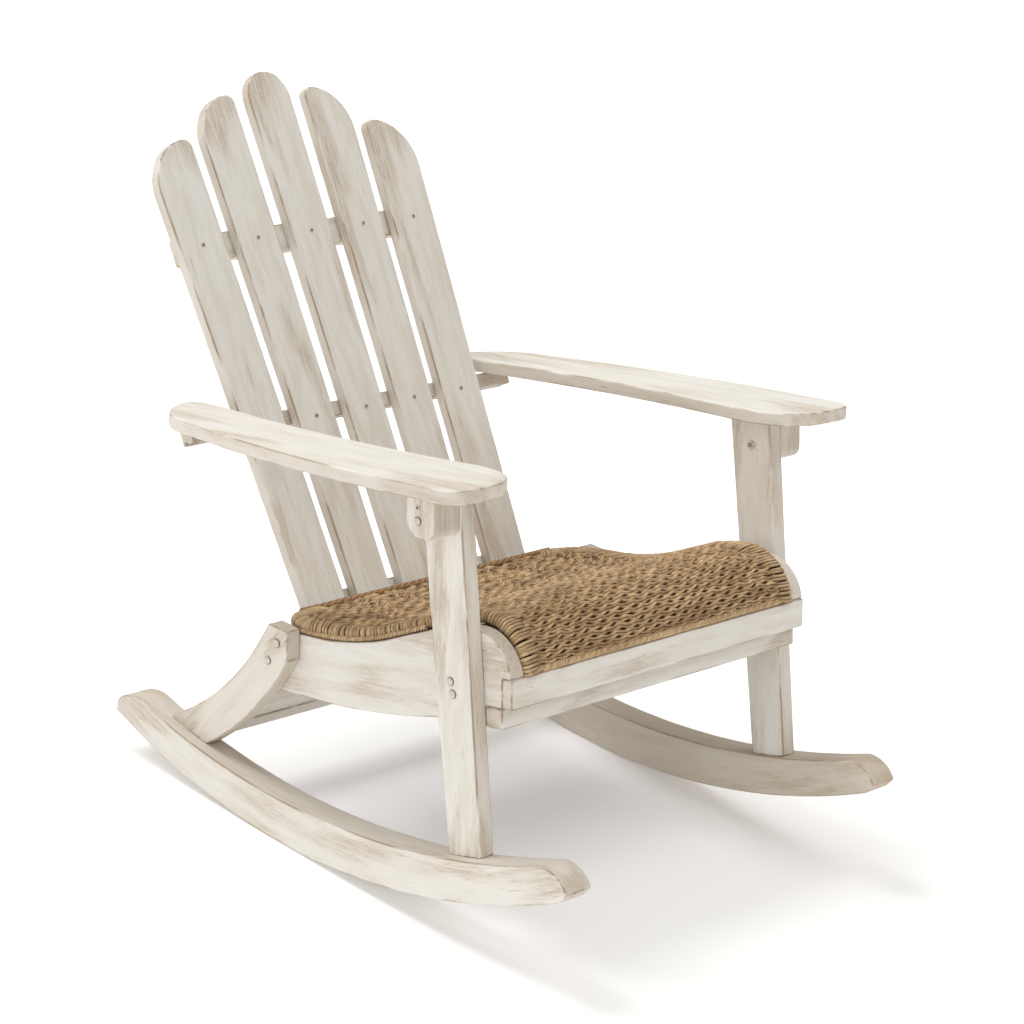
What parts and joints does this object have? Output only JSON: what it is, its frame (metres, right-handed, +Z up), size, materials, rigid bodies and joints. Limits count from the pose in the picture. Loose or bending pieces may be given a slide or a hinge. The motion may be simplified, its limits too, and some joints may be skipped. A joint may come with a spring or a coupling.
{
  "type": "rocking adirondack chair",
  "caption": "Outdoor rocking chair with a reclined fan of slats, broad flat armrests, curved rockers and a contoured woven rush seat.",
  "frame": {"origin": "on the floor under the middle of the chair's bounding box, with the chair at its own balance on its rockers", "axes": "+Z up, the sitter faces -Y, +X is the sitter's left"},
  "size_m": [0.843, 1.0834, 0.8693],
  "materials": {
    "whitewashed_wood": "matt whitewash, worn at the edges",
    "woven_rush": "matt twisted rush strands",
    "steel": "dull, weathered"
  },
  "bodies": {
    "root": {"rocker_left": "whitewashed_wood", "rocker_right": "whitewashed_wood", "front_post_left": "whitewashed_wood", "front_post_right": "whitewashed_wood", "rear_leg_left": "whitewashed_wood", "rear_leg_right": "whitewashed_wood", "side_rail_left": "whitewashed_wood", "side_rail_right": "whitewashed_wood", "front_apron_upper": "whitewashed_wood", "front_apron_lower": "whitewashed_wood", "rear_stretcher": "whitewashed_wood", "rear_seat_rail": "whitewashed_wood", "seat_crossbar_front": "whitewashed_wood", "seat_crossbar_middle": "whitewashed_wood", "armrest_left": "whitewashed_wood", "armrest_right": "whitewashed_wood", "arm_bracket_left": "whitewashed_wood", "arm_bracket_right": "whitewashed_wood", "back_slat_1": "whitewashed_wood", "back_slat_2": "whitewashed_wood", "back_slat_3": "whitewashed_wood", "back_slat_4": "whitewashed_wood", "back_slat_5": "whitewashed_wood", "upper_back_rail": "whitewashed_wood", "arm_back_rail": "whitewashed_wood", "lower_back_rail": "whitewashed_wood", "woven_seat": "woven_rush", "post_bolts": "steel", "post_bolt_nuts": "steel", "rear_leg_bolts": "steel", "rear_leg_bolt_nuts": "steel", "bracket_bolts": "steel", "bracket_bolt_nuts": "steel", "bracket_screws": "steel", "upper_slat_screws": "steel", "middle_slat_screws": "steel", "lower_slat_screws": "steel", "seat_rail_screws": "steel", "armrest_screws": "steel", "rocker_screws": "steel", "apron_dowels": "whitewashed_wood", "crossbar_dowels": "whitewashed_wood", "stretcher_dowels": "whitewashed_wood"}
  },
  "joints": []
}
